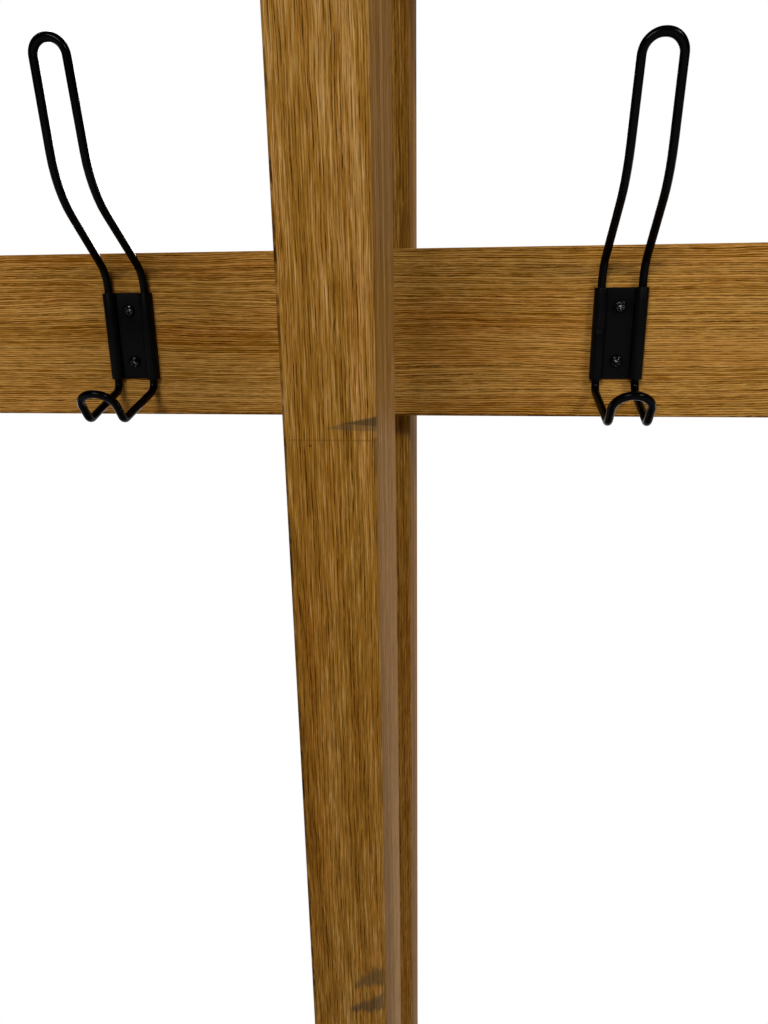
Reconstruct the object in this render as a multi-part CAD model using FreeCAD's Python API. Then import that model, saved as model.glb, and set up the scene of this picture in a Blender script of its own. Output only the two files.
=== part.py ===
import FreeCAD, Part
import math
import os

# Two-bay oak hall tree: three frames of paired posts, a seat, a shoe shelf, a hook rail and a top shelf.
# Millimetres. X runs to the right along the rails, Y from the front to the wall, Z up.
# The origin is on the floor under the middle of the whole piece.

Vector = FreeCAD.Vector
X, Y = range(2)
UP = Vector(0, 0, 1)
TO_FRONT = Vector(0, -1, 0)
MITRED = 1                  # how a sweep turns a corner of its path

# Post frames
frame_names = ("left", "centre", "right")
frame_pitch = 580.0
post_width = 40.0
front_post_depth = 84.0
rear_post_depth = 66.0
post_gap = 103.0
post_head = 50.0            # how far the posts stand above the upper rail
arris = 1.2                 # eased edge of every oak piece

# Rungs that tie a front post to its rear post
rung_width = 28.0
bottom_rung_height = 60.0
bottom_rung_lift = 90.0
top_rung_height = 44.0
rung_tenon_length = 22.0
rung_tenon_cheek = 8.0      # shoulder beside the tenon
rung_tenon_shoulder = 8.0   # shoulder above and below the tenon

# Rails on the front faces of the rear posts
rail_height = 100.0
rail_thickness = 20.0
hook_rail_lift = 1460.0
upper_rail_rise = 248.0     # from the bottom of the hook rail to the bottom of the upper rail

# Seat and shoe shelf: two cross rails, two battens and a row of boards in each bay
board_thickness = 20.0
board_gap = 6.0
board_end_gap = 0.6
seat_height = 450.0
seat_overhang = 40.0
seat_board_count = 3
shelf_height = 170.0
shelf_overhang = 0.0
shelf_board_count = 2
apron_height = 70.0
apron_thickness = 20.0
apron_setback = 14.0
apron_tenon_length = 14.0
apron_tenon_cheek = 5.0
apron_tenon_shoulder = 12.0
batten_width = 40.0
batten_height = 30.0
batten_inset = 60.0         # from the post to the middle of a batten
batten_tenon_length = 8.0
batten_tenon_cheek = 8.0
batten_tenon_shoulder = 6.0

# Top shelf over the post heads
top_board_count = 3
top_board_gap = 6.0

# Fits
tenon_clearance = 0.2
screw_clearance = 0.15

# Wire hooks: one loop of wire held on the rail by a sheet clip with two rolled sleeves
hook_offset = 150.0         # from the middle of the nearer frame
hook_row_shift = -4.7       # the whole row sits a little to the left of the pattern
wire_diameter = 4.7
wire_seat_gap = 0.25        # between the wire and the rail
sleeve_clearance = 0.25
sheet_thickness = 1.2
clip_height = 53.0
leg_spacing = 23.2
crook_spacing = 21.0
root_rise = 38.0            # above the middle of the clip, where the upper prong leaves the rail
root_radius = 20.0
elbow_rise = 81.3
elbow_radius = 46.0
tip_reach = 63.7            # in front of the rail
crook_drop = 33.5           # below the middle of the clip, where the lower crook leaves the rail
crook_root_radius = 7.0
crook_low_reach = 49.0
crook_low_drop = 44.5
crook_low_radius = 6.0
crook_tip_reach = 62.5
crook_tip_drop = 27.0
loop_roundness = 0.97       # bend radius of a loop against half the spacing of its legs
wire_butt_gap = 0.6         # between the two wire ends inside a sleeve
# Each prong is bent by hand: the height of its tip, its slant from the vertical in degrees,
# and the spacing of its legs at the elbow and at the tip
hook_bends = {
    "left_outer": (150.0, 49.0, 20.2, 18.6),
    "left_inner": (154.0, 50.4, 19.4, 17.6),
    "right_inner": (144.2, 48.2, 20.9, 19.4),
    "right_outer": (149.0, 49.6, 20.4, 18.4),
}

# Round bars are drawn with a few flats, at the area of the round, and a bend as even chords of its arc
wire_flats = 10
screw_flats = 6
bend_chord = 18.0           # most degrees of a bend in one chord

# Screws
hook_screw_spacing = 32.0
hook_screw_head_radius = 3.6
hook_screw_head_height = 2.4
hook_screw_rim = 1.0
hook_screw_crown_share = 0.6    # width of the crown against that of the head
hook_screw_point = 5.0
hook_screw_point_share = 0.3    # width of the blunt end against that of the shank
hook_screw_shank_radius = 1.9
hook_screw_length = 17.0
countersunk_head_radius = 4.5
countersunk_shank_radius = 2.25
countersunk_head_depth = 3.0
rail_screw_length = 55.0
rail_screw_spacing = 60.0
top_screw_length = 55.0

# Nail-on glides under the posts
glide_height = 5.0
glide_radius = 12.0
glide_edge = 1.5
glide_pin_radius = 2.0
glide_pin_length = 16.0

# Places that follow from the sizes
depth = seat_overhang + front_post_depth + post_gap + rear_post_depth
front_edge = -depth / 2
front_post_front = front_edge + seat_overhang
front_post_back = front_post_front + front_post_depth
rear_post_front = front_post_back + post_gap
rear_post_back = rear_post_front + rear_post_depth
upper_rail_lift = hook_rail_lift + upper_rail_rise
post_top = upper_rail_lift + rail_height + post_head
rail_front = rear_post_front - rail_thickness
hook_middle = hook_rail_lift + rail_height / 2
wire_radius = wire_diameter / 2
wire_reach = wire_radius + wire_seat_gap
sleeve_inner = wire_radius + sleeve_clearance
sleeve_outer = sleeve_inner + sheet_thickness
frame_middle = (len(frame_names) - 1) / 2
frame_x = {name: (i - frame_middle) * frame_pitch for i, name in enumerate(frame_names)}
bays = {"left": ("left", "centre"), "right": ("centre", "right")}

solids = {}
sockets = {}


def block(low, high):
    size = [b - a for a, b in zip(low, high)]
    return Part.makeBox(*size, Vector(*low))


def eased_block(low, high, long_axis=None):
    """A block of oak with its edges eased: all of them, or only those along one axis."""
    solid = block(low, high)
    edges = solid.Edges
    if long_axis is not None:
        edges = [e for e in edges if abs(e.tangentAt(e.FirstParameter)[long_axis]) > 0.5]
    return solid.makeChamfer(arris, edges)


def cut_later(holder, shape):
    sockets.setdefault(holder, []).append(shape)


def tenoned_piece(name, low, high, axis, tenon_length, shoulders, holders):
    """A cross piece with a stub tenon on each end, and the mortises that take them."""
    solid = eased_block(low, high, axis)
    for side, holder in enumerate(holders):
        tenon_low = [a + s for a, s in zip(low, shoulders)]
        tenon_high = [b - s for b, s in zip(high, shoulders)]
        if side == 0:
            tenon_low[axis], tenon_high[axis] = low[axis] - tenon_length, low[axis]
        else:
            tenon_low[axis], tenon_high[axis] = high[axis], high[axis] + tenon_length
        solid = solid.fuse(block(tenon_low, tenon_high))
        mortise_low = [a - tenon_clearance for a in tenon_low]
        mortise_high = [b + tenon_clearance for b in tenon_high]
        cut_later(holder, block(mortise_low, mortise_high))
    solids[name] = solid.removeSplitter()


def polygon(flats, radius, height=0.0):
    """A regular polygon with the area of the circle that it stands for, square to Z."""
    step = 2 * math.pi / flats
    reach = radius * math.sqrt(2 * math.pi / (flats * math.sin(step)))
    corners = []
    for i in range(flats):
        angle = (i + 0.5) * step
        corners.append(Vector(reach * math.cos(angle), reach * math.sin(angle), height))
    return Part.makePolygon(corners + corners[:1])


def set_along(shape, place, direction):
    shape.Placement = FreeCAD.Placement(place, FreeCAD.Rotation(UP, direction))
    return shape


def turned(sections, place, direction):
    """A turned piece with few flats, through (radius, height) sections, set along a direction."""
    bands = []
    for (radius, height), (next_radius, next_height) in zip(sections, sections[1:]):
        if height != next_height:
            ends = [polygon(screw_flats, radius, height), polygon(screw_flats, next_radius, next_height)]
            bands.append(Part.makeLoft(ends, True, True))
    solid = bands[0]
    if len(bands) > 1:
        solid = solid.fuse(bands[1:]).removeSplitter()
    return set_along(solid, place, direction)


def countersunk(place, direction, length, extra=0.0):
    """A countersunk screw whose flat head lies at the place; extra makes it the hole for one."""
    shank = countersunk_shank_radius + extra
    head = countersunk_head_radius + extra
    sections = [(shank, -length - extra), (shank, -countersunk_head_depth), (head, 0)]
    return turned(sections, place, direction)


def add_countersunk(group, place, direction, length, holders):
    solids.setdefault(group, []).append(countersunk(place, direction, length))
    hole = countersunk(place, direction, length, screw_clearance)
    for holder in holders:
        cut_later(holder, hole)


def pan_head(place, direction):
    """A pan-head screw seated at the place: a rounded head over a pointed shank."""
    point = hook_screw_shank_radius * hook_screw_point_share
    crown = hook_screw_head_radius * hook_screw_crown_share
    sections = [
        (point, -hook_screw_length),
        (hook_screw_shank_radius, hook_screw_point - hook_screw_length),
        (hook_screw_shank_radius, 0),
        (hook_screw_head_radius, 0),
        (hook_screw_head_radius, hook_screw_rim),
        (crown, hook_screw_head_height),
    ]
    return turned(sections, place, direction)


def bent_path(corners):
    """Straight runs joined by tangent bends, through (point, radius) corners; the ends have no bend."""
    points = [corners[0][0]]
    for (before, _), (corner, radius), (after, _) in zip(corners, corners[1:], corners[2:]):
        into = (corner - before).normalize()
        away = (after - corner).normalize()
        turn = math.degrees(into.getAngle(away))
        axis = into.cross(away).normalize()
        outward = into.cross(axis) * radius
        setback = radius * math.tan(math.radians(turn / 2))
        centre = corner - into * setback - outward
        chords = math.ceil(turn / bend_chord)
        for i in range(chords + 1):
            points.append(centre + FreeCAD.Rotation(axis, turn * i / chords).multVec(outward))
    points.append(corners[-1][0])
    return Part.makePolygon(points)


def make_posts():
    for name, x in frame_x.items():
        for row, front, back in (
            ("front", front_post_front, front_post_back),
            ("rear", rear_post_front, rear_post_back),
        ):
            low = (x - post_width / 2, front, glide_height)
            high = (x + post_width / 2, back, post_top)
            solids[f"{row}_post_{name}"] = eased_block(low, high)
            add_glide(f"{row}_post_{name}", Vector(x, (front + back) / 2, 0))


def add_glide(post, place):
    """A plastic disc with a pin driven into the end of a post."""
    pin_top = glide_height + glide_pin_length
    sections = [
        (glide_radius - glide_edge, 0),
        (glide_radius, glide_edge),
        (glide_radius, glide_height),
        (glide_pin_radius, glide_height),
        (glide_pin_radius, pin_top),
    ]
    solids.setdefault("glides", []).append(turned(sections, place, UP))
    hole_radius = glide_pin_radius + screw_clearance
    cut_later(post, turned([(hole_radius, 0), (hole_radius, pin_top + screw_clearance)], place, UP))


def make_rungs():
    shoulders = (rung_tenon_cheek, 0, rung_tenon_shoulder)
    for level, bottom, height in (
        ("bottom", bottom_rung_lift, bottom_rung_height),
        ("top", post_top - top_rung_height, top_rung_height),
    ):
        for name, x in frame_x.items():
            low = (x - rung_width / 2, front_post_back, bottom)
            high = (x + rung_width / 2, rear_post_front, bottom + height)
            holders = (f"front_post_{name}", f"rear_post_{name}")
            tenoned_piece(f"{level}_rung_{name}", low, high, Y, rung_tenon_length, shoulders, holders)


def make_rails():
    left_end = frame_x[frame_names[0]] - post_width / 2
    right_end = frame_x[frame_names[-1]] + post_width / 2
    for name, lift in (("hook_rail", hook_rail_lift), ("upper_rail", upper_rail_lift)):
        low = (left_end, rail_front, lift)
        high = (right_end, rear_post_front, lift + rail_height)
        solids[name] = eased_block(low, high)
        for post, x in frame_x.items():
            for side in (-1, 1):
                place = Vector(x, rail_front, lift + rail_height / 2 + side * rail_screw_spacing / 2)
                holders = (name, f"rear_post_{post}")
                add_countersunk("rail_screws", place, TO_FRONT, rail_screw_length, holders)


def make_platform(kind, top, overhang, board_count):
    """The seat or the shoe shelf: aprons tenoned into the posts, battens between them, boards on top."""
    apron_top = top - board_thickness
    apron_shoulders = (0, apron_tenon_cheek, apron_tenon_shoulder)
    batten_shoulders = (batten_tenon_cheek, 0, batten_tenon_shoulder)
    front_apron = front_post_front + apron_setback
    rear_apron = rear_post_back - apron_setback - apron_thickness
    boards_front = front_post_front - overhang
    board_width = (rear_post_back - boards_front - (board_count - 1) * board_gap) / board_count
    for bay, (left_frame, right_frame) in bays.items():
        left = frame_x[left_frame] + post_width / 2
        right = frame_x[right_frame] - post_width / 2
        for row, front in (("front", front_apron), ("rear", rear_apron)):
            low = (left, front, apron_top - apron_height)
            high = (right, front + apron_thickness, apron_top)
            holders = (f"{row}_post_{left_frame}", f"{row}_post_{right_frame}")
            name = f"{kind}_apron_{row}_{bay}"
            tenoned_piece(name, low, high, X, apron_tenon_length, apron_shoulders, holders)
        batten_x = {"a": left + batten_inset, "b": right - batten_inset}
        aprons = (f"{kind}_apron_front_{bay}", f"{kind}_apron_rear_{bay}")
        for mark, x in batten_x.items():
            low = (x - batten_width / 2, front_apron + apron_thickness, apron_top - batten_height)
            high = (x + batten_width / 2, rear_apron, apron_top)
            name = f"{kind}_batten_{bay}_{mark}"
            tenoned_piece(name, low, high, Y, batten_tenon_length, batten_shoulders, aprons)
        for i in range(board_count):
            front = boards_front + i * (board_width + board_gap)
            low = (left + board_end_gap, front, apron_top)
            high = (right - board_end_gap, front + board_width, top)
            solids[f"{kind}_board_{bay}_{i + 1}"] = eased_block(low, high)


def make_top_shelf():
    """Boards the full width of the piece, screwed down to the post heads and the top rungs."""
    left_end = frame_x[frame_names[0]] - post_width / 2
    right_end = frame_x[frame_names[-1]] + post_width / 2
    free_depth = rear_post_back - front_post_front - (top_board_count - 1) * top_board_gap
    board_width = free_depth / top_board_count
    for i in range(top_board_count):
        front = front_post_front + i * (board_width + top_board_gap)
        back = front + board_width
        board = f"top_board_{i + 1}"
        low = (left_end, front, post_top)
        high = (right_end, back, post_top + board_thickness)
        solids[board] = eased_block(low, high)
        middle = (front + back) / 2
        for name, x in frame_x.items():
            if middle < front_post_back:
                under = f"front_post_{name}"
            elif middle < rear_post_front:
                under = f"top_rung_{name}"
            else:
                under = f"rear_post_{name}"
            place = Vector(x, middle, post_top + board_thickness)
            add_countersunk("top_screws", place, UP, top_screw_length, (board, under))


def hook_point(x, side, reach, rise):
    return Vector(x + side, rail_front - reach, hook_middle + rise)


def make_wire(name, x, tip_rise, slant, elbow_spacing, tip_spacing):
    """The hook itself: up the left leg, round the long prong, down the right leg and round the crook."""
    leg = leg_spacing / 2
    elbow = elbow_spacing / 2
    tip = tip_spacing / 2
    crook = crook_spacing / 2
    elbow_reach = wire_reach + (elbow_rise - root_rise) * math.tan(math.radians(slant))
    upper = [
        (leg, wire_reach, root_rise, root_radius),
        (elbow, elbow_reach, elbow_rise, elbow_radius),
        (tip, tip_reach, tip_rise - wire_radius, tip * loop_roundness),
    ]
    lower = [
        (crook, crook_tip_reach, -crook_tip_drop, crook * loop_roundness),
        (crook, crook_low_reach, -crook_low_drop, crook_low_radius),
        (leg, wire_reach, -crook_drop, crook_root_radius),
    ]
    corners = [(hook_point(x, -leg, wire_reach, wire_butt_gap / 2), 0)]
    corners += [(hook_point(x, -s, reach, rise), bend) for s, reach, rise, bend in upper]
    corners += [(hook_point(x, s, reach, rise), bend) for s, reach, rise, bend in reversed(upper)]
    corners += [(hook_point(x, s, reach, rise), bend) for s, reach, rise, bend in reversed(lower)]
    corners += [(hook_point(x, -s, reach, rise), bend) for s, reach, rise, bend in lower]
    corners.append((hook_point(x, -leg, wire_reach, -wire_butt_gap / 2), 0))
    path = bent_path(corners)
    section = set_along(polygon(wire_flats, wire_radius), corners[0][0], UP)
    solid = path.makePipeShell([section], True, False, MITRED)
    expected = math.pi * wire_radius ** 2 * path.Length
    print(name, "length", round(path.Length, 1), "volume ratio", round(solid.Volume / expected, 5))
    solids[name] = solid


def tunnel(x, radius):
    """A half-round arch along the clip, standing on the face of the rail."""
    bottom = hook_middle - clip_height / 2
    left_foot = Vector(x - radius, rail_front, bottom)
    left_spring = Vector(x - radius, rail_front - wire_reach, bottom)
    crown = Vector(x, rail_front - wire_reach - radius, bottom)
    right_spring = Vector(x + radius, rail_front - wire_reach, bottom)
    right_foot = Vector(x + radius, rail_front, bottom)
    edges = [
        Part.LineSegment(left_foot, left_spring).toShape(),
        Part.Arc(left_spring, crown, right_spring).toShape(),
        Part.LineSegment(right_spring, right_foot).toShape(),
        Part.LineSegment(right_foot, left_foot).toShape(),
    ]
    return Part.Face(Part.Wire(edges)).extrude(UP * clip_height)


def make_clip(name, x):
    """A strip of sheet, flat between the legs and rolled over each leg as a half-round sleeve."""
    legs = (x - leg_spacing / 2, x + leg_spacing / 2)
    low = (legs[0], rail_front - sheet_thickness, hook_middle - clip_height / 2)
    high = (legs[1], rail_front, hook_middle + clip_height / 2)
    solid = block(low, high).fuse([tunnel(leg, sleeve_outer) for leg in legs])
    solids[name] = solid.cut([tunnel(leg, sleeve_inner) for leg in legs]).removeSplitter()
    hole_radius = hook_screw_shank_radius + screw_clearance
    hole_depth = hook_screw_length + screw_clearance
    for side in (-1, 1):
        place = Vector(x, rail_front - sheet_thickness, hook_middle + side * hook_screw_spacing / 2)
        solids.setdefault("hook_screws", []).append(pan_head(place, TO_FRONT))
        hole = turned([(hole_radius, 0), (hole_radius, -hole_depth)], place, TO_FRONT)
        cut_later(name, hole)
        cut_later("hook_rail", hole)


def make_hooks():
    for bay, (left_frame, right_frame) in bays.items():
        left = frame_x[left_frame] + hook_offset + hook_row_shift
        right = frame_x[right_frame] - hook_offset + hook_row_shift
        near_left, near_right = ("outer", "inner") if bay == "left" else ("inner", "outer")
        for place, x in ((near_left, left), (near_right, right)):
            name = f"{bay}_{place}"
            make_wire(f"hook_wire_{name}", x, *hook_bends[name])
            make_clip(f"hook_clip_{name}", x)


def write_parts():
    os.makedirs("parts", exist_ok=True)
    for name, shape in solids.items():
        if isinstance(shape, list):
            shape = Part.makeCompound(shape)
        for socket in sockets.get(name, []):
            shape = shape.cut(socket)
        shape.exportStep(f"parts/{name}.step")


make_posts()
make_rungs()
make_rails()
make_platform("seat", seat_height, seat_overhang, seat_board_count)
make_platform("shelf", shelf_height, shelf_overhang, shelf_board_count)
make_top_shelf()
make_hooks()
write_parts()
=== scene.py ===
import math

import bmesh
import bpy
from mathutils import Matrix, Vector


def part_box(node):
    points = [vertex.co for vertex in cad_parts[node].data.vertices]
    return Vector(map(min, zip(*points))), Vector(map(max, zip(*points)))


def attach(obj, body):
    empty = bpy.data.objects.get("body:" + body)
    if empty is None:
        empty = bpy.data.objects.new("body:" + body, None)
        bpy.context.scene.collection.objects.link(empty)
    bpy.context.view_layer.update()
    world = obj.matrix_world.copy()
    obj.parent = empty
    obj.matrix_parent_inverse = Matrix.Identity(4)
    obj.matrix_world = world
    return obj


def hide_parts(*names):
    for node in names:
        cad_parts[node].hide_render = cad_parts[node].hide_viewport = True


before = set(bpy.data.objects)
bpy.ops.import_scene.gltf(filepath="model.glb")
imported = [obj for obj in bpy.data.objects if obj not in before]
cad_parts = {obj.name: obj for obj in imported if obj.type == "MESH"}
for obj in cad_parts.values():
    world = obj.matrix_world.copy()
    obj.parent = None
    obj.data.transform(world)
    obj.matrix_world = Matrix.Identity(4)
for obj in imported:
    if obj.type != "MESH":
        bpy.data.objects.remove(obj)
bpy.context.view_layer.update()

# The looks of a two-bay oak hall tree with black wire hooks.
# Metres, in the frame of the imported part: X along the rails, Y from the front to the wall, Z up.

MM = 0.001
FRONT = Vector((0, -1, 0))
UP = Vector((0, 0, 1))

frame_names = ("left", "centre", "right")
bay_names = ("left", "right")
hook_names = ("left_outer", "left_inner", "right_inner", "right_outer")
oak_names = ("front_post", "rear_post", "bottom_rung", "top_rung", "hook_rail", "upper_rail",
             "seat_", "shelf_", "top_board")

# Wire hooks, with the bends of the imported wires
wire_radius = 2.35 * MM
wire_sides = 24
wire_seat_gap = 0.25 * MM
wire_reach = wire_radius + wire_seat_gap
butt_gap = 0.6 * MM
leg_spacing = 23.2 * MM
crook_spacing = 21.0 * MM
root_rise = 38.0 * MM
root_radius = 20.0 * MM
elbow_rise = 81.3 * MM
elbow_radius = 46.0 * MM
tip_reach = 63.7 * MM
crook_drop = 33.5 * MM
crook_root_radius = 7.0 * MM
crook_low_reach = 49.0 * MM
crook_low_drop = 44.5 * MM
crook_low_radius = 6.0 * MM
crook_tip_reach = 62.5 * MM
crook_tip_drop = 27.0 * MM
loop_roundness = 0.97
bend_step = math.radians(7.5)
# Slant of each prong from the vertical, and the spacing of its legs at the elbow and at the tip
hook_bends = {
    "left_outer": (math.radians(49.0), 20.2 * MM, 18.6 * MM),
    "left_inner": (math.radians(50.4), 19.4 * MM, 17.6 * MM),
    "right_inner": (math.radians(48.2), 20.9 * MM, 19.4 * MM),
    "right_outer": (math.radians(49.6), 20.4 * MM, 18.4 * MM),
}

# Sheet clips
sheet_thickness = 1.2 * MM
sleeve_clearance = 0.25 * MM
sleeve_middle = wire_radius + sleeve_clearance + sheet_thickness / 2    # from a leg's axis to mid-sheet
sheet_edge = 0.22 * MM
sheet_edge_steps = 2
fold_radius = 1.0 * MM          # inside of the fold where the flat turns up into a sleeve

# A dent knocked into the outside of one sleeve
dented_hook = "right_inner"
dent_rise = 4.3 * MM            # from the middle of the clip up to the dent
dent_reach = 4.2 * MM
dent_depth = 1.0 * MM
dent_rings = 6

# Screws
pan_head_radius = 3.6 * MM
pan_head_height = 2.4 * MM
pan_head_rim = 1.0 * MM
pan_dome_turn = math.radians(75)
pan_dome_steps = 6
pan_shank_radius = 1.9 * MM
pan_shank_length = 17.0 * MM
hook_screw_spacing = 32.0 * MM
flat_head_radius = 4.43 * MM
flat_head_edge = 0.4 * MM
flat_head_depth = 3.0 * MM
flat_shank_radius = 2.25 * MM
flat_shank_length = 55.0 * MM
rail_screw_spacing = 60.0 * MM
screw_point = 5.0 * MM
tip_share = 0.3                 # of a shank's or a pin's radius that is left at its tip
recess_reach = 2.2 * MM         # from the middle of a cross recess to the end of a wing
recess_width = 1.0 * MM
recess_depth = 1.7 * MM
recess_taper = 0.45             # size of a recess at its bottom as a share of that at its top
recess_slot = 1                 # the material of a recess comes second on a screw
screw_sides = 36
screw_turn = math.radians(37)   # from one screw to the next, as they happen to be driven

# Glides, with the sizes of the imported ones
glide_radius = 12.0 * MM
glide_edge = 1.5 * MM
glide_edge_steps = 5
glide_lip = 0.4 * MM
glide_height = 5.0 * MM
glide_pin_radius = 2.0 * MM
glide_pin_length = 16.0 * MM
glide_pin_point = 2.0 * MM

# Edges that turn by more than this stay sharp
wire_crease = math.radians(50)
sheet_crease = math.radians(40)
turned_crease = math.radians(35)

# Oak. The axis of the grain comes first, then the two across it
grain_axes = {"X": ("X", "Y", "Z"), "Y": ("Y", "X", "Z"), "Z": ("Z", "X", "Y")}
# Each piece has a place of its own in one long block of timber: the step from piece to piece along and
# across the grain, the size of the block across it, and the jump to the rear half of a post
timber_step = (0.61, 0.173, 0.291)
timber_size = (0.7, 0.9)
lamella_jump = (0.4, 0.23, 0.31)
# Where a piece doesn't take the next place in line, and where it is darker than the rest. The middle front
# post's place makes it darker towards the bottom; the darker tone of the middle rear post is painted shade,
# deepening the shadow that the front post casts on it
chosen_places = {"front_post_centre": 14}
chosen_tones_and_shade = {"front_post_centre": -0.08, "rear_post_centre": -0.12}
# Soft patterns have their length along and across the grain in millimetres, and their detail.
# A sway also has how far it goes, in millimetres.
# Pore lines have their length, spacing and width in millimetres, and the least share that shows.
# Colours are dark, middle and pale wood, first the golden kind and then the redder kind.
# The rails and boards have a grain that wanders far and strong lines; the posts, rungs and battens are
# straighter and plainer.
board_cut = {
    "sway": (220, 70, 2.0, 10),
    "pores": (12, 1.35, 0.44, 0.34),
    "fine_share": 0.9,
    "between_weight": 0.4,
    "colours": (("#4a2500", "#84550c", "#b88a45"), ("#4b2300", "#85510a", "#ba8440")),
}
post_cut = {
    "sway": (300, 160, 2.0, 2.4),
    "pores": (15, 2.0, 0.38, 0.0),
    "fine_share": 0.65,
    "between_weight": 0.12,
    "colours": (("#4e2c00", "#8a6020", "#bb955c"), ("#4f2900", "#8b5c1d", "#bd8e55")),
}
quick_sway = (24, 9, 1.0, 0.9)
fine_pores = (7, 1.0, 0.3, 0.2)
fibre_pattern = (70, 1.6, 2.0)
band_pattern = (280, 13, 1.0)
sweep_pattern = (520, 120, 0.0)
patch_pattern = (130, 9, 2.0)
patch_range = (0.45, 0.75)      # where the patch pattern turns from golden wood to redder wood
ruling_length = 24
ruling_width = 0.34
row_throw = 97.0                # the most that a row of fibres is thrown along, in lengths of its pattern
line_room = (0.25, 0.75)        # where the middle of a pore line may lie across its row
line_fade = (0.6, 0.4)          # from no line to a full line, in widths from its middle
line_breaks = (0.38, 0.58)      # where the pattern along a line turns from a break to a full line
# Growth rings: their width, how much a step along the board counts beside one across it, and the share of
# early wood at places through a ring
ring_width = 4.5 * MM
ring_lean = 0.05
ring_stops = ((0.0, 0.1), (0.3, 1.0), (0.7, 0.1))
pore_share = (0.6, 1.0)         # how much of the pores shows in late wood and in early wood
# What lightens the wood, or darkens it where it is less than nothing, and where its three colours lie
base_tone = -0.22
fibre_weight = 0.1
ruling_weight = 0.7
band_weight = 0.45
sweep_weight = 0.3
ring_weight = -0.08
lamella_weight = 0.10
tone_stops = (0.10, 0.46, 0.80)
pore_colour = "#341500"
lacquer_roughness = 0.60
pore_roughness = 0.75

# Scuffs on the front of the middle post: corners (x, z) in millimetres, clockwise from the front, and the
# soft edge in millimetres, the depth and the colour
scuff_fray = 9 * MM
crisp_edge = 1.0                # a scuff with a wider soft edge frays along the grain
scuff_back = -104.5 * MM        # no scuff lies behind this
middle_post_scuffs = [
    ([(-6.0, 1485.6), (7.0, 1488.4), (21.0, 1492.4), (21.0, 1484.0), (5.0, 1484.6)],
     0.8, 0.45, "#40382a"),
    ([(2.0, 1487.4), (7.0, 1488.4), (21.0, 1492.4), (21.0, 1486.0)],
     1.0, 0.55, "#2e2618"),
    ([(17.6, 1482.0), (22.0, 1483.0), (22.0, 1461.0), (18.4, 1465.0)],
     1.6, 0.4, "#3c3014"),
    ([(-18.0, 1481.0), (21.0, 1481.2), (21.0, 1479.8), (-18.0, 1479.9)],
     0.6, 0.5, "#5a3d16"),
    ([(-9.1, 1478.5), (-8.0, 1478.8), (-7.6, 1477.7), (-8.6, 1477.2)],
     0.4, 0.95, "#1d1208"),
    ([(0.7, 1184.6), (14.4, 1198.4), (21.0, 1196.0), (21.0, 1183.6), (1.6, 1178.6)],
     4.0, 0.6, "#3d3526"),
    ([(-2.0, 1167.3), (19.5, 1181.7), (21.0, 1181.0), (21.0, 1165.6), (0.0, 1160.6)],
     4.0, 0.7, "#3a3224"),
]

# Grain of the other finishes, and how much rougher or smoother it makes them
coat_peel = 1.1 * MM
coat_patch = 14 * MM
coat_rougher = 0.1
screw_grit = 0.7 * MM
grit_smoother = 0.06
grit_rougher = 0.08
glide_scuff = 4 * MM
glide_roughness = (0.45, 0.65)
glide_colours = ("#3a2a1c", "#4d3a29")

# Values of a noise pattern: its middle, and a range that has most of it
noise_middle = 0.5
noise_range = (0.3, 0.7)

# Light of the studio on the object, and of the room in front as reflections see it; white is 1
fill_light = 0.14
room_light = 0.1
window_light = 0.55
high_light = 0.35
# What a reflection meets from straight ahead, at 0, to straight back, at 1
mirrored_stops = ((0.0, window_light), (0.12, room_light), (0.35, room_light), (0.7, 1.0))
high_range = (-0.3, 0.1)        # between these heights a direction turns from low to high
# Lamps: place, aim, width and height in metres, power in watts and spread in degrees
lamps = {
    "left": ((-0.43, -1.52, 2.63), (0, 0.08, 1.46), 0.85, 0.2, 24.3, 180),
    "right": ((1.45, -1.35, 2.8), (0, 0.08, 1.4), 0.6, 0.1, 27.5, 180),
    "side": ((1.9, 0.9, 1.15), (0, 0.08, 1.4), 0.8, 0.8, 8, 180),
    "low": ((0.3, -1.9, 0.9), (0, 0, 0.15), 1.2, 0.3, 4, 50),
    "left_side": ((-1.9, 0.9, 1.0), (0, 0.08, 1.1), 0.8, 0.8, 7, 180),
    "back": ((-0.7, 2.3, 2.1), (0, 0.1, 1.0), 1.4, 1.0, 44, 180),
}

# Floor: pale by the object, and turning white between two reaches from its middle; by the stretch that lies
# further out to the sides than to the front and back
floor_radius = 30.0
floor_sides = 96
floor_stretch = (0.75, 1.4, 1)
floor_fade = (0.5, 0.95)
floor_colour = "#e9e8e5"

# Camera of the photograph, for a frame of 768 by 1024 pixels
camera_place = Vector((58.6, -425.2, 1550.6)) * MM
camera_aim = Vector((4.0, 60.5, 1396.1)) * MM
camera_roll = math.radians(0.843)
camera_near = 20 * MM
focal_pixels = 780.1
frame_pixels = 1024
sensor_width = 36.0


# Making pieces

def nodes_named(start):
    """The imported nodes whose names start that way, in order."""
    return sorted(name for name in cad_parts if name.startswith(start))


def middle_of(node):
    low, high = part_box(node)
    return (low + high) / 2


def deselect():
    bpy.ops.object.select_all(action="DESELECT")


def name_piece(name):
    """Names the active object and its mesh."""
    piece = bpy.context.object
    piece.name = name
    piece.data.name = name
    return piece


def select_only(piece):
    deselect()
    piece.select_set(True)
    bpy.context.view_layer.objects.active = piece


def edit(piece):
    select_only(piece)
    bpy.ops.object.mode_set(mode="EDIT")


def leave():
    bpy.ops.object.mode_set(mode="OBJECT")


def select_edges():
    """In edit mode, selects the whole of a new outline by its edges."""
    bpy.ops.mesh.select_mode(type="EDGE")
    bpy.ops.mesh.select_all(action="SELECT")


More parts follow.
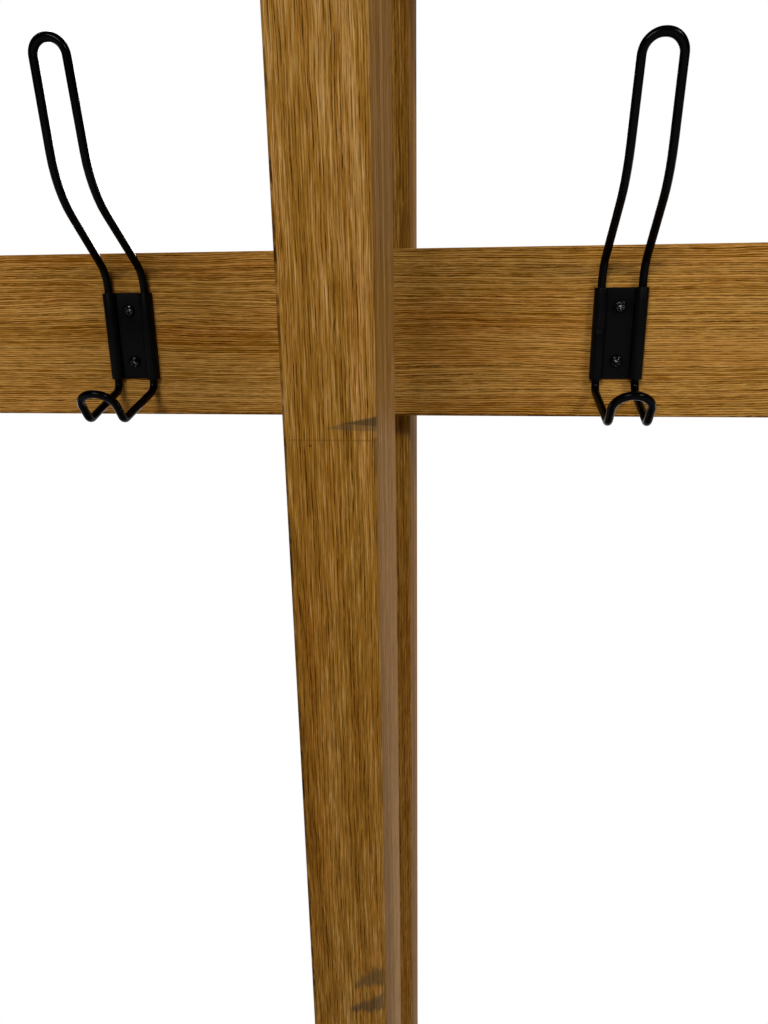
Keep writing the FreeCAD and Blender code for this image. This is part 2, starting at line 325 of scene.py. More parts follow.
def select_vertices(piece, wanted):
    """In edit mode, selects the vertices whose place passes the test, with their edges and faces."""
    bpy.ops.mesh.select_mode(type="VERT")
    bpy.ops.mesh.select_all(action="DESELECT")
    mesh = bmesh.from_edit_mesh(piece.data)
    for vertex in mesh.verts:
        vertex.select = wanted(vertex.co)
    mesh.select_flush_mode()
    bmesh.update_edit_mesh(piece.data)


def feed(run):
    bpy.ops.mesh.extrude_region_move(TRANSFORM_OT_translate={"value": run})


def bend(centre, axis, angle):
    """Turns the selected outline of a bar about an axis, and leaves the new outline selected.
    The operator turns clockwise round the axis, so the angle changes sign."""
    steps = max(2, math.ceil(abs(angle) / bend_step))
    bpy.ops.mesh.spin(steps=steps, angle=-angle, center=centre, axis=axis)


def close_ends():
    """Fills the two open ends of a bar, points its faces outwards and leaves edit mode."""
    bpy.ops.mesh.select_all(action="SELECT")
    bpy.ops.mesh.remove_doubles(threshold=0.001 * MM)
    bpy.ops.mesh.select_all(action="DESELECT")
    bpy.ops.mesh.select_mode(type="EDGE")
    bpy.ops.mesh.select_non_manifold()
    bpy.ops.mesh.fill_holes(sides=0)
    bpy.ops.mesh.select_all(action="SELECT")
    bpy.ops.mesh.normals_make_consistent(inside=False)
    leave()


def apply_modifier(piece, kind, **settings):
    select_only(piece)
    made = piece.modifiers.new(kind.lower(), kind)
    for key, value in settings.items():
        setattr(made, key, value)
    bpy.ops.object.modifier_apply(modifier=made.name)


def settle(piece):
    """Puts a piece's place, turn and scale into its mesh."""
    select_only(piece)
    bpy.ops.object.transform_apply(location=True, rotation=True, scale=True)


def copy_piece(piece, name):
    copied = piece.copy()
    copied.data = piece.data.copy()
    copied.name = name
    copied.data.name = name
    bpy.context.scene.collection.objects.link(copied)
    return copied


def join_pieces(pieces, name):
    deselect()
    for piece in pieces:
        piece.select_set(True)
    bpy.context.view_layer.objects.active = pieces[0]
    bpy.ops.object.join()
    return name_piece(name)


def dress(piece, material=None):
    """Gives a finished piece its place on the part, and its material if it has none yet."""
    if material:
        piece.data.materials.append(material)
    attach(piece, "root")


# Materials

def linear(code):
    """A colour written as an sRGB hex value, as the linear colour that the shaders use."""
    parts = [int(code[i:i + 2], 16) / 255 for i in (1, 3, 5)]
    return tuple(c / 12.92 if c <= 0.04045 else ((c + 0.055) / 1.055) ** 2.4 for c in parts) + (1,)


def grey(level):
    return (level, level, level, 1)


def add(tree, kind, inputs=None, stops=None, **settings):
    """Adds a node with its settings; an input is a value or the socket that feeds it, and a colour
    ramp has stops of place and colour."""
    made = tree.nodes.new("ShaderNode" + kind)
    for key, value in settings.items():
        setattr(made, key, value)
    if stops:
        ramp = made.color_ramp.elements
        ramp.remove(ramp[1])
        ramp[0].position, ramp[0].color = stops[0]
        for position, colour in stops[1:]:
            ramp.new(position).color = colour
    for socket, value in (inputs or {}).items():
        if isinstance(value, bpy.types.NodeSocket):
            tree.links.new(value, made.inputs[socket])
        else:
            made.inputs[socket].default_value = value
    return made


def new_material(name):
    """An empty node material, and its nodes."""
    material = bpy.data.materials.new(name)
    material.use_nodes = True
    material.node_tree.nodes.clear()
    return material, material.node_tree


def drift(tree, board, along, across, detail):
    """A soft pattern of that many millimetres along and across the grain."""
    scale = (1 / (along * MM), 1 / (across * MM), 1 / (across * MM))
    stretched = add(tree, "Mapping", {"Vector": board, "Scale": scale}).outputs["Vector"]
    return add(tree, "TexNoise", {"Vector": stretched, "Scale": 1.0, "Detail": detail}).outputs


def fibres(tree, board, length, width):
    """Fibres side by side in rows of that width. Gives the place across the rows, how far each row is
    thrown from its neighbours, and the light and dark stretches along it."""
    across = (0, 1 / (width * MM), 1 / (width * MM))
    place = add(tree, "VectorMath", {0: board, 1: across}, operation="DOT_PRODUCT").outputs["Value"]
    row = add(tree, "Math", {0: place}, operation="FLOOR").outputs[0]
    thrown = add(tree, "TexWhiteNoise", {"W": row}, noise_dimensions="1D").outputs["Value"]
    run = (1 / (length * MM), 0, 0)
    along = add(tree, "VectorMath", {0: board, 1: run}, operation="DOT_PRODUCT").outputs["Value"]
    along = add(tree, "Math", {0: thrown, 1: row_throw, 2: along}, operation="MULTIPLY_ADD").outputs[0]
    stretch = add(tree, "TexNoise", {"W": along, "Scale": 1.0, "Detail": 2.0}, noise_dimensions="1D")
    return place, thrown, stretch.outputs["Fac"]


def pore_lines(tree, board, length, spacing, width, least):
    """Thin lines of open pores, one to a row, that come and go along the grain but for the least share.
    Gives the lines, and how far a place lies from its line in shares of the row."""
    place, thrown, stretch = fibres(tree, board, length, spacing)
    middle = add(tree, "MapRange", {"Value": thrown, "To Min": line_room[0], "To Max": line_room[1]})
    within = add(tree, "Math", {0: place}, operation="FRACT").outputs[0]
    off = add(tree, "Math", {0: within, 1: middle.outputs[0]}, operation="SUBTRACT").outputs[0]
    off = add(tree, "Math", {0: off}, operation="ABSOLUTE").outputs[0]
    none, full = (share * width / spacing for share in line_fade)
    line = add(tree, "MapRange", {"Value": off, "From Min": none, "From Max": full})
    depth = add(tree, "MapRange", {
        "Value": stretch, "From Min": line_breaks[0], "From Max": line_breaks[1], "To Min": least,
    })
    lines = add(tree, "Math", {0: line.outputs[0], 1: depth.outputs[0]}, operation="MULTIPLY")
    return lines.outputs[0], off


def swaying(tree, board, sways):
    """Places on a board whose grain sways to and fro along it."""
    swayed = board
    for along, across, detail, reach in sways:
        sway = drift(tree, board, along, across, detail)["Color"]
        sway = add(tree, "VectorMath", {0: sway, 1: [noise_middle] * 3}, operation="SUBTRACT").outputs[0]
        sway = add(tree, "VectorMath", {0: sway, "Scale": reach * MM}, operation="SCALE").outputs[0]
        swayed = add(tree, "VectorMath", {0: swayed, 1: sway}, operation="ADD").outputs[0]
    return swayed


def early_wood(tree, board):
    """How far a place lies in the early wood of growth rings round a heart that is outside the board and
    leans along it."""
    rings = add(tree, "Mapping", {"Vector": board, "Scale": (ring_lean, 1, 1)}).outputs["Vector"]
    radius = add(tree, "VectorMath", {0: rings}, operation="LENGTH").outputs["Value"]
    ring = add(tree, "Math", {0: radius, 1: 1 / ring_width}, operation="MULTIPLY").outputs[0]
    ring = add(tree, "Math", {0: ring}, operation="FRACT").outputs[0]
    stops = [(place, grey(share)) for place, share in ring_stops]
    return add(tree, "ValToRGB", {"Fac": ring}, stops=stops).outputs["Color"]


def open_pores(tree, board, cut, early):
    """Long and fine lines of open pores, fainter in late wood. Gives the lines, and how far a place lies
    from the long line of its row."""
    coarse, between = pore_lines(tree, board, *cut["pores"])
    fine = pore_lines(tree, board, *fine_pores)[0]
    fine = add(tree, "Math", {0: fine, 1: cut["fine_share"]}, operation="MULTIPLY").outputs[0]
    pore = add(tree, "Math", {0: coarse, 1: fine}, operation="MAXIMUM").outputs[0]
    share = add(tree, "MapRange", {"Value": early, "To Min": pore_share[0], "To Max": pore_share[1]})
    pore = add(tree, "Math", {0: pore, 1: share.outputs[0]}, operation="MULTIPLY").outputs[0]
    return pore, between


def oak(name, grain, number, tone=0.0, lamella=None, scuffs=()):
    """Oak under a satin lacquer: golden brown, ruled along the grain by dark lines of open pores, with
    broad bands of paler and redder wood and a low sheen that whitens at a flat angle.
    The pores are drawn about twice as wide as real ones, so that they show from a step away."""
    material, tree = new_material("oak_" + name)
    cut = board_cut if grain == "X" else post_cut
    place = add(tree, "TexCoord").outputs["Object"]
    parts = add(tree, "SeparateXYZ", {"Vector": place}).outputs
    axes = [parts[axis] for axis in grain_axes[grain]]
    board = add(tree, "CombineXYZ", {"X": axes[0], "Y": axes[1], "Z": axes[2]}).outputs[0]
    along, wide, high = (step * number for step in timber_step)
    start = (along, wide % timber_size[0], high % timber_size[1])
    board = add(tree, "VectorMath", {0: board, 1: start}, operation="ADD").outputs[0]
    if lamella is not None:
        rear = add(tree, "Math", {0: parts["Y"], 1: lamella}, operation="GREATER_THAN").outputs[0]
        jump = add(tree, "VectorMath", {0: lamella_jump, "Scale": rear}, operation="SCALE").outputs[0]
        board = add(tree, "VectorMath", {0: board, 1: jump}, operation="ADD").outputs[0]
    swayed = swaying(tree, board, (cut["sway"], quick_sway))

    # Layers of light and dark
    early = early_wood(tree, swayed)
    pore, between = open_pores(tree, swayed, cut, early)
    ruling = fibres(tree, swayed, ruling_length, ruling_width)[2]
    fibre = drift(tree, swayed, *fibre_pattern)["Fac"]
    band = drift(tree, swayed, *band_pattern)["Fac"]
    sweep = drift(tree, board, *sweep_pattern)["Fac"]
    layers = [
        (fibre, fibre_weight), (ruling, ruling_weight), (between, cut["between_weight"]),
        (band, band_weight), (sweep, sweep_weight), (early, ring_weight),
    ]
    if lamella is not None:
        layers.append((rear, lamella_weight))
    tone += base_tone
    for layer, weight in layers:
        tone = add(tree, "Math", {0: layer, 1: weight, 2: tone}, operation="MULTIPLY_ADD").outputs[0]

    # Colour: golden wood and patches of redder wood, then the pores and the scuffs
    shades = []
    for colours in cut["colours"]:
        stops = [(stop, linear(colour)) for stop, colour in zip(tone_stops, colours)]
        shades.append(add(tree, "ValToRGB", {"Fac": tone}, stops=stops).outputs["Color"])
    patch = drift(tree, swayed, *patch_pattern)["Fac"]
    patch = add(tree, "MapRange", {"Value": patch, "From Min": patch_range[0], "From Max": patch_range[1]})
    wood = add(tree, "Mix", {
        "Factor": patch.outputs[0], "A": shades[0], "B": shades[1],
    }, data_type="RGBA").outputs["Result"]
    wood = add(tree, "Mix", {
        "Factor": pore, "A": wood, "B": linear(pore_colour),
    }, data_type="RGBA").outputs["Result"]
    if scuffs:
        wood = scuffed(tree, parts, fibre, wood, scuffs)

    rough = add(tree, "MapRange", {"Value": pore, "To Min": lacquer_roughness, "To Max": pore_roughness})
    relief = add(tree, "Math", {0: ruling, 1: pore}, operation="SUBTRACT").outputs[0]
    bump = add(tree, "Bump", {"Height": relief, "Strength": 0.5, "Distance": 0.05 * MM}).outputs[0]
    shader = add(tree, "BsdfPrincipled", {
        "Base Color": wood, "Roughness": rough.outputs[0], "Normal": bump, "IOR": 1.5,
        "Specular IOR Level": 0.023,
    })
    add(tree, "OutputMaterial", {"Surface": shader.outputs[0]})
    return material


def inside(tree, across, up, corners, soft):
    """1 well inside a convex outline whose corners run clockwise, fading to 0 at its edges."""
    depth = None
    for (x, z), (next_x, next_z) in zip(corners, corners[1:] + corners[:1]):
        length = math.hypot(next_x - x, next_z - z)
        right, down = (next_z - z) / length, (next_x - x) / length
        offset = (z * down - x * right) * MM
        part = add(tree, "Math", {0: across, 1: right, 2: offset}, operation="MULTIPLY_ADD").outputs[0]
        part = add(tree, "Math", {0: up, 1: -down, 2: part}, operation="MULTIPLY_ADD").outputs[0]
        if depth is None:
            depth = part
        else:
            depth = add(tree, "Math", {0: depth, 1: part}, operation="MINIMUM").outputs[0]
    faded = add(tree, "MapRange", {"Value": depth, "From Max": soft * MM}, interpolation_type="SMOOTHSTEP")
    return faded.outputs[0]


def scuffed(tree, parts, fibre, wood, scuffs):
    """Dark scuffs on a post's front face, the softer ones feathered along the grain."""
    fray = add(tree, "Math", {0: fibre, 1: noise_middle}, operation="SUBTRACT").outputs[0]
    up = parts["Z"]
    frayed = add(tree, "Math", {0: fray, 1: scuff_fray, 2: up}, operation="MULTIPLY_ADD").outputs[0]
    face = add(tree, "Math", {0: parts["Y"], 1: scuff_back}, operation="LESS_THAN").outputs[0]
    for corners, soft, depth, colour in scuffs:
        mark = inside(tree, parts["X"], frayed if soft > crisp_edge else up, corners, soft)
        mark = add(tree, "Math", {0: mark, 1: face}, operation="MULTIPLY").outputs[0]
        mark = add(tree, "Math", {0: mark, 1: depth}, operation="MULTIPLY").outputs[0]
        wood = add(tree, "Mix", {
            "Factor": mark, "A": wood, "B": linear(colour),
        }, data_type="RGBA").outputs["Result"]
    return wood


def powder_coat(name, roughness, dark, light):
    """Black powder coat on steel: a thick film with a fine orange peel, smooth on the drawn wire and more
    satin on the sheet, with narrow highlights."""
    material, tree = new_material("black_powder_coat_" + name)
    place = add(tree, "TexCoord").outputs["Object"]
    peel = add(tree, "TexNoise", {"Vector": place, "Scale": 1 / coat_peel, "Detail": 2.0}).outputs["Fac"]
    bump = add(tree, "Bump", {"Height": peel, "Strength": 0.08, "Distance": 0.05 * MM}).outputs[0]
    patch = add(tree, "TexNoise", {"Vector": place, "Scale": 1 / coat_patch, "Detail": 3.0}).outputs["Fac"]
    colour = add(tree, "Mix", {"Factor": patch, "A": linear(dark), "B": linear(light)}, data_type="RGBA")
    rough = add(tree, "MapRange", {
        "Value": patch, "From Min": noise_range[0], "From Max": noise_range[1],
        "To Min": roughness, "To Max": roughness + coat_rougher,
    })
    shader = add(tree, "BsdfPrincipled", {
        "Base Color": colour.outputs["Result"], "Roughness": rough.outputs[0], "Normal": bump,
        "IOR": 1.5, "Specular IOR Level": 0.04,
    })
    add(tree, "OutputMaterial", {"Surface": shader.outputs[0]})
    return material


def screw_steel(name, dark, light, roughness, worn=noise_range):
    """Steel screws: a grey metal, plated or blackened, lighter in specks. On the blackened hook screws the
    specks are painted glints; in their recesses they are bare steel where the driver bites, with painted
    glints.
    The specks run from none to all between the two worn values; they are drawn coarse to show."""
    material, tree = new_material(name)
    place = add(tree, "TexCoord").outputs["Object"]
    grit = add(tree, "TexNoise", {"Vector": place, "Scale": 1 / screw_grit, "Detail": 3.0}).outputs["Fac"]
    speck = add(tree, "MapRange", {"Value": grit, "From Min": worn[0], "From Max": worn[1]}).outputs[0]
    colour = add(tree, "Mix", {"Factor": speck, "A": linear(dark), "B": linear(light)}, data_type="RGBA")
    rough = add(tree, "MapRange", {
        "Value": grit, "From Min": noise_range[0], "From Max": noise_range[1],
        "To Min": roughness - grit_smoother, "To Max": roughness + grit_rougher,
    })
    bump = add(tree, "Bump", {"Height": grit, "Strength": 0.2, "Distance": 0.03 * MM}).outputs[0]
    shader = add(tree, "BsdfPrincipled", {
        "Base Color": colour.outputs["Result"], "Metallic": 1.0, "Roughness": rough.outputs[0],
        "Normal": bump,
    })
    add(tree, "OutputMaterial", {"Surface": shader.outputs[0]})
    return material


def glide_plastic():
    """Moulded polyethylene: a dull brown plastic, scuffed where it slides."""
    material, tree = new_material("moulded_polyethylene")
    place = add(tree, "TexCoord").outputs["Object"]
    scuff = add(tree, "TexNoise", {"Vector": place, "Scale": 1 / glide_scuff, "Detail": 4.0})
    scuff = scuff.outputs["Fac"]
    dark, light = (linear(colour) for colour in glide_colours)
    colour = add(tree, "Mix", {"Factor": scuff, "A": dark, "B": light}, data_type="RGBA")
    smooth, worn = glide_roughness
    rough = add(tree, "MapRange", {"Value": scuff, "To Min": smooth, "To Max": worn})
    shader = add(tree, "BsdfPrincipled", {
        "Base Color": colour.outputs["Result"], "Roughness": rough.outputs[0], "IOR": 1.5,
    })
    add(tree, "OutputMaterial", {"Surface": shader.outputs[0]})
    return material


# Oak pieces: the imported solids, each with its own cut of oak

def grain_of(name):
    if "_post_" in name:
        return "Z"
    if "_rung_" in name or "_batten_" in name:
        return "Y"
    return "X"


def dress_oak():
    """Gives each oak piece its own stretch of timber; a post is glued up from a front and a rear half."""
    for number, name in enumerate(nodes_named(oak_names)):
        lamella = middle_of(name).y if "_post_" in name else None
        scuffs = middle_post_scuffs if name == "front_post_centre" else ()
        number = chosen_places.get(name, number)
        # the darker tone of the middle rear post is painted shade
        tone = chosen_tones_and_shade.get(name, 0.0)
        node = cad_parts[name]
        node.data.materials.clear()
        node.data.materials.append(oak(name, grain_of(name), number, tone, lamella, scuffs))


# Wire hooks

def wire_corners(name):
    """The corners of a hook's wire as (point, bend radius), from the middle of its left leg round the
    prong and the crook and back to the same leg."""
    clip_low, clip_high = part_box("hook_clip_" + name)
    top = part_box("hook_wire_" + name)[1].z
    middle = (clip_low + clip_high) / 2
    origin = Vector((middle.x, clip_high.y, middle.z))
    slant, elbow_spacing, tip_spacing = hook_bends[name]
    leg, elbow = leg_spacing / 2, elbow_spacing / 2
    tip, crook = tip_spacing / 2, crook_spacing / 2
    elbow_reach = wire_reach + (elbow_rise - root_rise) * math.tan(slant)
    upper = [
        (leg, wire_reach, root_rise, root_radius),
        (elbow, elbow_reach, elbow_rise, elbow_radius),
        (tip, tip_reach, top - middle.z - wire_radius, tip * loop_roundness),
    ]
    lower = [
        (crook, crook_tip_reach, -crook_tip_drop, crook * loop_roundness),
        (crook, crook_low_reach, -crook_low_drop, crook_low_radius),
        (leg, wire_reach, -crook_drop, crook_root_radius),
    ]
    route = [(-leg, wire_reach, butt_gap / 2, 0)]
    route += [(-side, reach, rise, radius) for side, reach, rise, radius in upper]
    route += reversed(upper)
    route += reversed(lower)
    route += [(-side, reach, rise, radius) for side, reach, rise, radius in lower]
    route.append((-leg, wire_reach, -butt_gap / 2, 0))
    return [(origin + Vector((side, -reach, rise)), radius) for side, reach, rise, radius in route]


def make_wire(name):
    """A round wire fed and bent corner by corner, as the real one is."""
    corners = wire_corners(name)
    start = corners[0][0]
    deselect()
    bpy.ops.mesh.primitive_circle_add(vertices=wire_sides, radius=wire_radius, location=start)
    wire = name_piece("wire_" + name)
    settle(wire)
    edit(wire)
    select_edges()
    for (before, _), (corner, radius), (after, _) in zip(corners, corners[1:], corners[2:]):
        into = (corner - before).normalized()
        away = (after - corner).normalized()
        turn = into.angle(away)
        axis = into.cross(away).normalized()
        setback = radius * math.tan(turn / 2)
        arc_start = corner - into * setback
        feed(arc_start - start)
        bend(arc_start + axis.cross(into) * radius, axis, turn)
        start = corner + away * setback
    feed(corners[-1][0] - start)
    close_ends()
    bpy.ops.object.shade_smooth_by_angle(angle=wire_crease)
    return wire


def make_clip(name):
    """A strip of sheet fed and folded: over one leg, flat between the legs and over the other leg."""
    low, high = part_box("hook_clip_" + name)
    middle = (low + high) / 2
    rail_face = high.y
    crown = rail_face - wire_reach
    fold = fold_radius + sheet_thickness / 2
    fold_line = rail_face - sheet_thickness / 2 - fold
    legs = (middle.x - leg_spacing / 2, middle.x + leg_spacing / 2)
    folds = (legs[0] + sleeve_middle + fold, legs[1] - sleeve_middle - fold)
    over_leg = math.radians(180)
    into_flat = math.radians(-90)
    deselect()
    bpy.ops.mesh.primitive_plane_add(size=1, location=(legs[0] - sleeve_middle, rail_face, middle.z))
    clip = name_piece("clip_" + name)
    clip.rotation_euler = (math.radians(90), 0, 0)
    clip.scale = (sheet_thickness, high.z - low.z, 1)
    settle(clip)
    edit(clip)
    select_edges()
    bpy.ops.mesh.delete(type="ONLY_FACE")
    bpy.ops.mesh.select_all(action="SELECT")
    feed(FRONT * (rail_face - crown))
    bend(Vector((legs[0], crown, middle.z)), UP, over_leg)
    feed(FRONT * (crown - fold_line))
    bend(Vector((folds[0], fold_line, middle.z)), UP, into_flat)
    feed(Vector((folds[1] - folds[0], 0, 0)))
    bend(Vector((folds[1], fold_line, middle.z)), UP, into_flat)
    feed(FRONT * (fold_line - crown))
    bend(Vector((legs[1], crown, middle.z)), UP, over_leg)
    feed(FRONT * (crown - rail_face))
    close_ends()
    apply_modifier(clip, "BEVEL", width=sheet_edge, segments=sheet_edge_steps, limit_method="ANGLE",
                   angle_limit=sheet_crease)
    if name == dented_hook:
        dent(clip, Vector((legs[0], crown, middle.z + dent_rise)))
    bpy.ops.object.shade_smooth_by_angle(angle=sheet_crease)
    return clip


def dent(clip, axis):
    """Presses the outside of a sleeve in, ring by ring, in front of a point on the axis of its leg."""
    crest = axis + FRONT * (sleeve_middle + sheet_thickness / 2)
    edit(clip)
    for row in range(-dent_rings, dent_rings + 1):
        bpy.ops.mesh.select_all(action="SELECT")
        bpy.ops.mesh.bisect(plane_co=axis + UP * (dent_reach * row / dent_rings), plane_no=UP)
    for ring in range(dent_rings):
        reach = dent_reach * (1 - ring / dent_rings)
        select_vertices(clip, lambda place: (place - crest).length < reach
                        and (place - axis).to_2d().length > sleeve_middle)
        bpy.ops.transform.translate(value=-FRONT * (dent_depth / dent_rings))
    leave()


# Screws

def turned_piece(name, sections):
    """A round piece along Z, drawn out ring by ring through (radius, height) sections."""
    radius, height = sections[0]
    deselect()
    bpy.ops.mesh.primitive_circle_add(vertices=screw_sides, radius=radius, location=(0, 0, height))
    piece = name_piece(name)
    settle(piece)
    edit(piece)
    select_edges()
    for next_radius, next_height in sections[1:]:
        feed(UP * (next_height - height))
        grow = next_radius / radius
        bpy.ops.transform.resize(value=(grow, grow, 1), center_override=(0, 0, next_height))
        radius, height = next_radius, next_height
    close_ends()
    return piece


def pan_head_sections():
    """A pan head: a straight rim under a low dome, over a pointed shank."""
    sections = [
        (pan_shank_radius * tip_share, -pan_shank_length),
        (pan_shank_radius, -pan_shank_length + screw_point),
        (pan_shank_radius, 0),
        (pan_head_radius, 0),
        (pan_head_radius, pan_head_rim),
    ]
    dome = pan_head_height - pan_head_rim
    for step in range(1, pan_dome_steps + 1):
        angle = step / pan_dome_steps * pan_dome_turn
        sections.append((pan_head_radius * math.cos(angle), pan_head_rim + dome * math.sin(angle)))
    return sections


def flat_head_sections():
    """A countersunk head over a pointed shank."""
    return [
        (flat_shank_radius * tip_share, -flat_shank_length),
        (flat_shank_radius, -flat_shank_length + screw_point),
        (flat_shank_radius, -flat_head_depth),
        (flat_head_radius, -flat_head_edge),
        (flat_head_radius, -flat_head_edge / 2),
        (flat_head_radius - flat_head_edge / 2, 0),
    ]


def cross_cutter():
    """The cutter for a cross recess: two tapered wings."""
    wings = []
    for quarter in range(2):
        deselect()
        bpy.ops.mesh.primitive_cube_add(size=2)
        wing = name_piece("wing")
        wing.scale = (recess_reach, recess_width / 2, recess_depth)
        wing.rotation_euler = (0, 0, quarter * math.pi / 2)
        settle(wing)
        edit(wing)
        select_vertices(wing, lambda place: place.z < 0)
        bpy.ops.transform.resize(value=(recess_taper, recess_taper, 1), center_override=(0, 0, 0))
        leave()
        wings.append(wing)
    return wings


def cut_recess(screw, top):
    """Cuts a cross recess into a screw's head; its faces keep the cutter's material."""
    for wing in cross_cutter():
        for material in screw.data.materials:
            wing.data.materials.append(material)
        for face in wing.data.polygons:
            face.material_index = recess_slot
        wing.location.z = top
        settle(wing)
        apply_modifier(screw, "BOOLEAN", object=wing, operation="DIFFERENCE", solver="EXACT")
        bpy.data.objects.remove(wing)


def make_screws(name, sections, top, places, direction, materials):
    """Copies of one screw, each turned a little further in its hole. Its recess is cut from the top
    down."""
    pattern = turned_piece(name, sections)
    for material in materials:
        pattern.data.materials.append(material)
    cut_recess(pattern, top)
    select_only(pattern)
    bpy.ops.object.shade_smooth_by_angle(angle=turned_crease)
    stand = UP.rotation_difference(direction).to_matrix().to_4x4()
    screws = []
    for i, place in enumerate(places):
        screw = copy_piece(pattern, f"{name}_{i}")
        screw.matrix_world = Matrix.Translation(place) @ stand @ Matrix.Rotation(i * screw_turn, 4, "Z")
        settle(screw)
        screws.append(screw)
    bpy.data.objects.remove(pattern)
    return join_pieces(screws, name)


def dress_hooks():
    """Wires, clips and the two screws of each clip."""
    wire_coat = powder_coat("wire", 0.14, "#010101", "#020202")
    sheet_coat = powder_coat("sheet", 0.28, "#040404", "#080808")
    # the light specks on these blackened heads are painted glints
    head = screw_steel("blackened_screw_steel_with_painted_glints", "#0d0d0e", "#58585a", 0.24, (0.58, 0.68))
    # bare steel in the recess where the driver bites, with painted glints in its light specks
    bare_steel_and_glints = screw_steel("bare_screw_steel_with_painted_glints", "#1c1c1d", "#c8c8ca", 0.22, (0.48, 0.58))
    places = []
    for name in hook_names:
        wire = make_wire(name)
        dress(wire, wire_coat)
        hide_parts("hook_wire_" + name)
        clip = make_clip(name)
        dress(clip, sheet_coat)
        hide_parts("hook_clip_" + name)
        low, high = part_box("hook_clip_" + name)
        middle = (low + high) / 2
        for side in (-1, 1):
            rise = side * hook_screw_spacing / 2
            places.append(Vector((middle.x, high.y - sheet_thickness, middle.z + rise)))
    sections = pan_head_sections()
    screws = make_screws("hook_screw_heads", sections, pan_head_height, places, FRONT, (head, bare_steel_and_glints))
    dress(screws)
    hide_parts("hook_screws")


def dress_frame_screws():
    """Countersunk screws through the rails and the top boards into the posts."""
    plated = screw_steel("zinc_plated_steel", "#9b988c", "#c4c1b4", 0.34)
    # the recess is the same zinc plating drawn darker: painted shade
    shade = screw_steel("zinc_plated_recess_painted_shade", "#55534c", "#8a877d", 0.4)
    post_middles = [middle_of("rear_post_" + name).x for name in frame_names]
    places = []
    for rail in ("hook_rail", "upper_rail"):
        low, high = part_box(rail)
        for x in post_middles:
            for side in (-1, 1):
                places.append(Vector((x, low.y, (low.z + high.z) / 2 + side * rail_screw_spacing / 2)))
    sections = flat_head_sections()
    screws = make_screws("rail_screw_heads", sections, 0, places, FRONT, (plated, shade))
    dress(screws)
    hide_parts("rail_screws")
    places = []
    for board in nodes_named("top_board_"):
        low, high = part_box(board)
        for x in post_middles:
            places.append(Vector((x, (low.y + high.y) / 2, high.z)))
    screws = make_screws("top_screw_heads", sections, 0, places, UP, (plated, shade))
    dress(screws)
    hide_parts("top_screws")


def dress_board_screws():
    """Pan-head screws up through the battens, one into each board of the seat and the shelf."""
    head = screw_steel("phosphated_screw_steel", "#3a3a38", "#565652", 0.45)
    # the recess is the same phosphated steel drawn darker: painted shade
    recess = screw_steel("phosphated_recess_painted_shade", "#242423", "#3a3a38", 0.5)
    places = []
    for kind in ("seat", "shelf"):
        for bay in bay_names:
            for batten in nodes_named(f"{kind}_batten_{bay}_"):
                low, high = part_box(batten)
                for board in nodes_named(f"{kind}_board_{bay}_"):
                    board_low, board_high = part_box(board)
                    front = max(board_low.y, low.y)
                    back = min(board_high.y, high.y)
                    places.append(Vector(((low.x + high.x) / 2, (front + back) / 2, low.z)))
    sections = pan_head_sections()
    screws = make_screws("board_screw_heads", sections, pan_head_height, places, -UP, (head, recess))
    dress(screws)


# Glides

def glide_sections():
    """Sole, rounded edge, side and pin of a glide, from the floor up."""
    sections = []
    for step in range(glide_edge_steps + 1):
        angle = math.radians(90 * step / glide_edge_steps - 90)
        sections.append((
            glide_radius - glide_edge + glide_edge * math.cos(angle),
            glide_edge + glide_edge * math.sin(angle),
        ))
    sections += [
        (glide_radius, glide_height - glide_lip),
        (glide_radius - glide_lip, glide_height),
        (glide_pin_radius, glide_height),
        (glide_pin_radius, glide_height + glide_pin_length - glide_pin_point),
        (glide_pin_radius * tip_share, glide_height + glide_pin_length),
    ]
    return sections


def dress_glides():
    """Nail-on glides: a plastic disc with a rounded sole, and its pin."""
    plastic = glide_plastic()
    glides = []
    for row in ("front", "rear"):
        for name in frame_names:
            middle = middle_of(f"{row}_post_{name}")
            glide = turned_piece("glide", glide_sections())
            glide.location = (middle.x, middle.y, 0)
            settle(glide)
            bpy.ops.object.shade_smooth_by_angle(angle=turned_crease)
            glides.append(glide)
    joined = join_pieces(glides, "glide_discs")
    dress(joined, plastic)
    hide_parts("glides")


# Stage

def light_world():
    """Even white studio light, plain white to the camera. Reflections that look to the back meet white
    that is dimmer high up; those that look to the front meet a dim room with a window straight ahead."""
    world = bpy.data.worlds.new("studio")
    bpy.context.scene.world = world
    world.use_nodes = True
    tree = world.node_tree
    tree.nodes.clear()
    rays = add(tree, "LightPath").outputs
    direction = add(tree, "TexCoord").outputs["Generated"]
    direction = add(tree, "SeparateXYZ", {"Vector": direction}).outputs
    back = add(tree, "MapRange", {"Value": direction["Y"], "From Min": -1.0}).outputs[0]
    stops = [(place, grey(level)) for place, level in mirrored_stops]
    mirrored = add(tree, "ValToRGB", {"Fac": back}, stops=stops).outputs["Color"]
    high = add(tree, "MapRange", {
        "Value": direction["Z"], "From Min": high_range[0], "From Max": high_range[1],
        "To Min": 1.0, "To Max": high_light,
    }).outputs[0]
    mirrored = add(tree, "Math", {0: mirrored, 1: high}, operation="MULTIPLY").outputs[0]
    glossy = add(tree, "Math", {
        0: rays["Is Glossy Ray"], 1: rays["Is Transmission Ray"],
    }, operation="MAXIMUM").outputs[0]
    seen = rays["Is Camera Ray"]
    strength = add(tree, "Mix", {"Factor": glossy, "A": fill_light, "B": mirrored}).outputs["Result"]
    strength = add(tree, "Mix", {"Factor": seen, "A": strength, "B": 1.0}).outputs["Result"]
    shader = add(tree, "Background", {"Color": grey(1), "Strength": strength})
    add(tree, "OutputWorld", {"Surface": shader.outputs[0]})


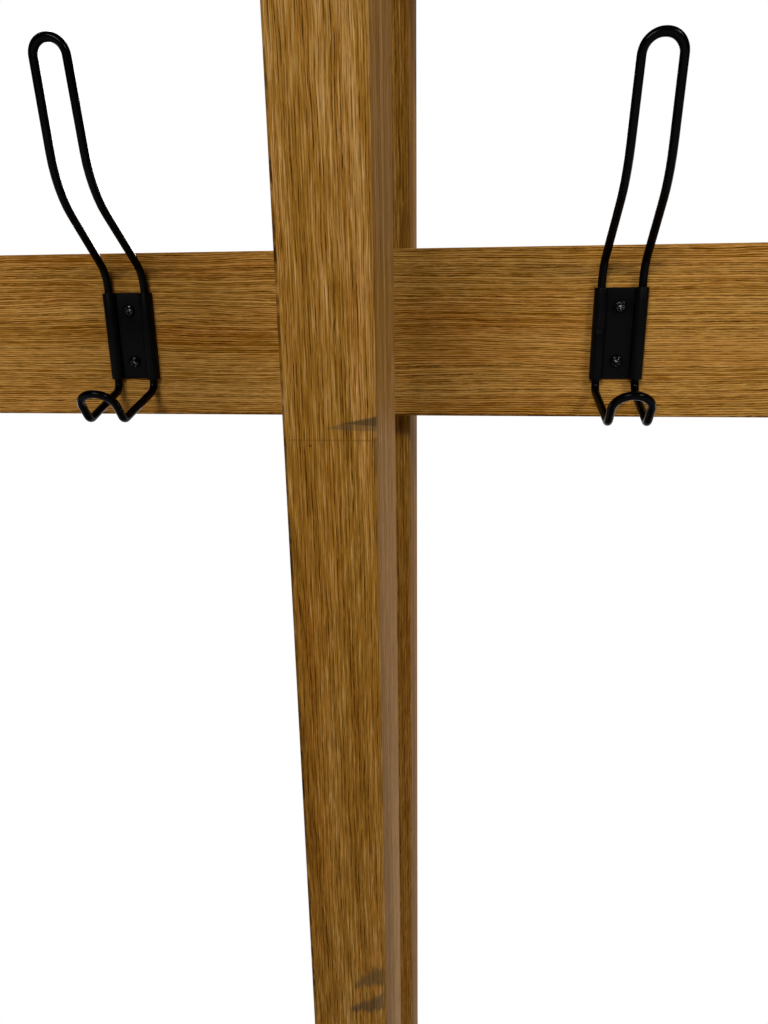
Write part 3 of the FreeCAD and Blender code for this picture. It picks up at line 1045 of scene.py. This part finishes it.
def add_lamp(name, place, aim, width, height, power, spread):
    data = bpy.data.lights.new(name, "AREA")
    data.spread = math.radians(spread)
    data.shape = "RECTANGLE"
    data.size = width
    data.size_y = height
    data.energy = power
    lamp = bpy.data.objects.new(name, data)
    lamp.location = place
    lamp.rotation_euler = (Vector(aim) - Vector(place)).to_track_quat("-Z", "Y").to_euler()
    bpy.context.scene.collection.objects.link(lamp)


def lay_floor():
    """A pale floor that keeps the shadow near the feet and runs out to plain white."""
    deselect()
    bpy.ops.mesh.primitive_circle_add(vertices=floor_sides, radius=floor_radius, fill_type="NGON",
                                      location=(0, 0, 0))
    floor = name_piece("floor")
    material, tree = new_material("pale_floor")
    place = add(tree, "TexCoord").outputs["Object"]
    near = add(tree, "Mapping", {"Vector": place, "Scale": floor_stretch}).outputs["Vector"]
    far = add(tree, "VectorMath", {0: near}, operation="LENGTH").outputs["Value"]
    far = add(tree, "MapRange", {
        "Value": far, "From Min": floor_fade[0], "From Max": floor_fade[1],
    }, interpolation_type="SMOOTHSTEP").outputs[0]
    rays = add(tree, "LightPath").outputs
    seen = add(tree, "Math", {0: rays["Is Camera Ray"], 1: rays["Is Glossy Ray"]}, operation="MAXIMUM")
    white = add(tree, "Math", {0: seen.outputs[0], 1: far}, operation="MULTIPLY").outputs[0]
    matt = add(tree, "BsdfDiffuse", {"Color": linear(floor_colour)}).outputs[0]
    glow = add(tree, "Emission", {"Color": grey(1), "Strength": 1.0}).outputs[0]
    shader = add(tree, "MixShader", {0: white, 1: matt, 2: glow}).outputs[0]
    add(tree, "OutputMaterial", {"Surface": shader})
    floor.data.materials.append(material)


def set_camera():
    data = bpy.data.cameras.new("camera")
    data.sensor_width = sensor_width
    data.lens = focal_pixels / frame_pixels * sensor_width
    data.clip_start = camera_near
    camera = bpy.data.objects.new("camera", data)
    look = camera_aim - camera_place
    facing = look.to_track_quat("-Z", "Y").to_matrix().to_4x4()
    roll = Matrix.Rotation(camera_roll, 4, look)
    camera.matrix_world = Matrix.Translation(camera_place) @ roll @ facing
    bpy.context.scene.collection.objects.link(camera)
    bpy.context.scene.camera = camera


dress_oak()
dress_hooks()
dress_frame_screws()
dress_board_screws()
dress_glides()
light_world()
for name, settings in lamps.items():
    add_lamp(name, *settings)
lay_floor()
set_camera()
bpy.context.scene.view_settings.view_transform = "Standard"
